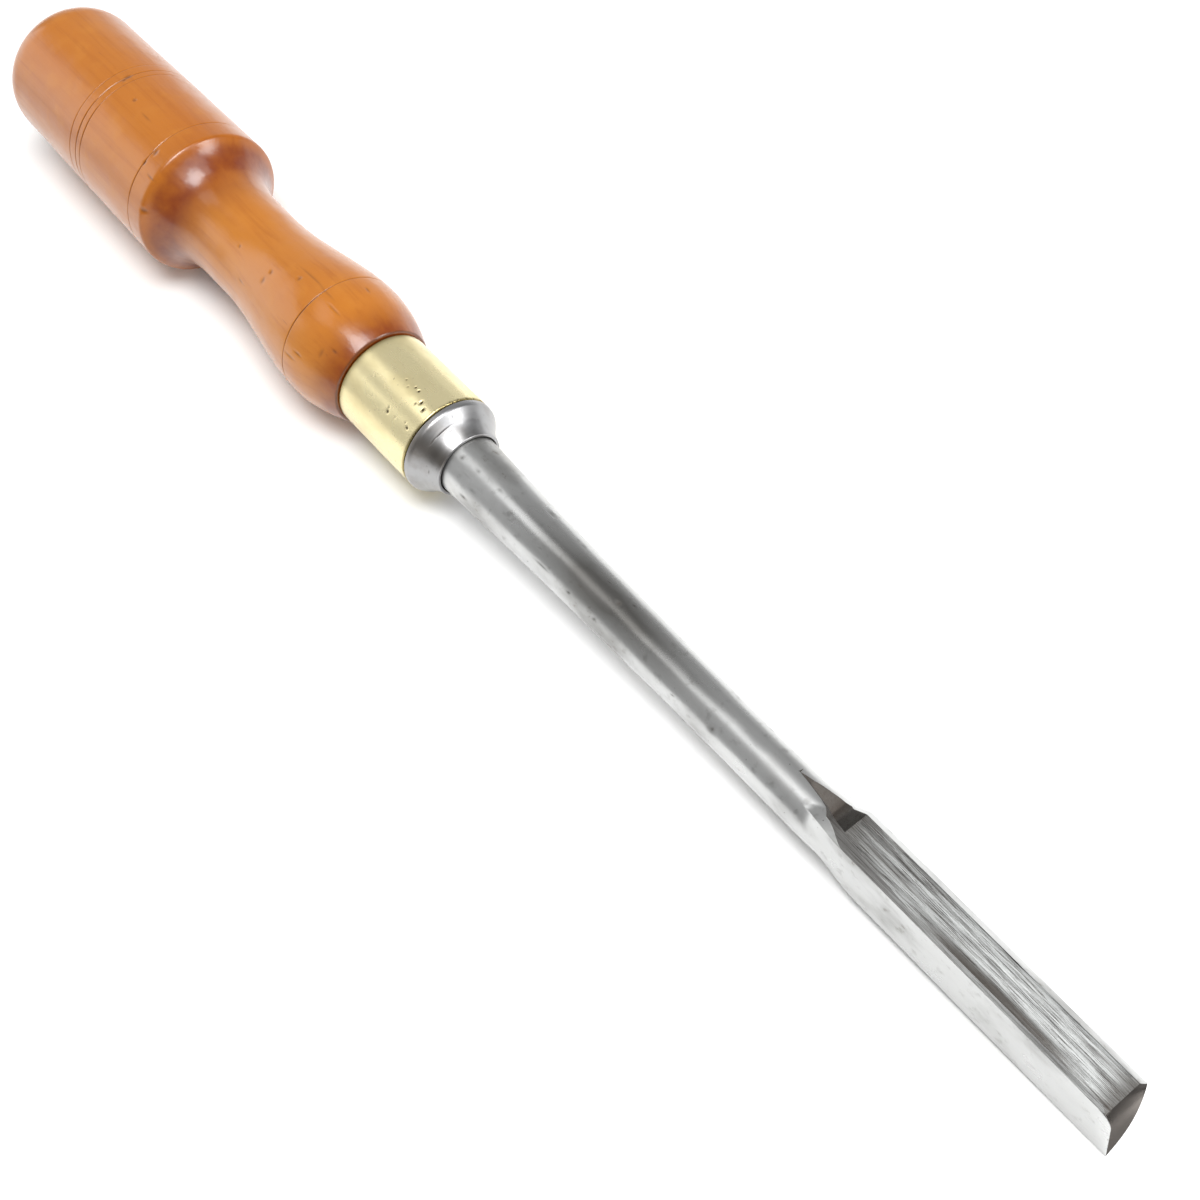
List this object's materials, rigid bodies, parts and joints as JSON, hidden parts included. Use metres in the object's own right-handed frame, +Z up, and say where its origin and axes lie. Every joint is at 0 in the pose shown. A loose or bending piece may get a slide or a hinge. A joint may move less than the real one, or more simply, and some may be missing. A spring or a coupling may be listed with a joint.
{
  "type": "corner chisel",
  "caption": "Turned-handle corner chisel with brass ferrule, steel bolster, round shank and V-shaped blade, at rest on a flat surface.",
  "frame": {"origin": "middle of the tool's footprint, on the surface it lies on", "axes": "+X from the butt of the handle to the cutting edge, +Y the way the lower leg of the V points, +Z up"},
  "size_m": [0.3924, 0.0398, 0.0421],
  "materials": {
    "boxwood": "waxed",
    "brass": "polished",
    "bolster_steel": "polished by hand",
    "blade_steel": "satin, ground along its length"
  },
  "bodies": {
    "root": {"handle": "boxwood", "ferrule": "brass", "bolster": "bolster_steel", "blade": "blade_steel"}
  },
  "joints": []
}
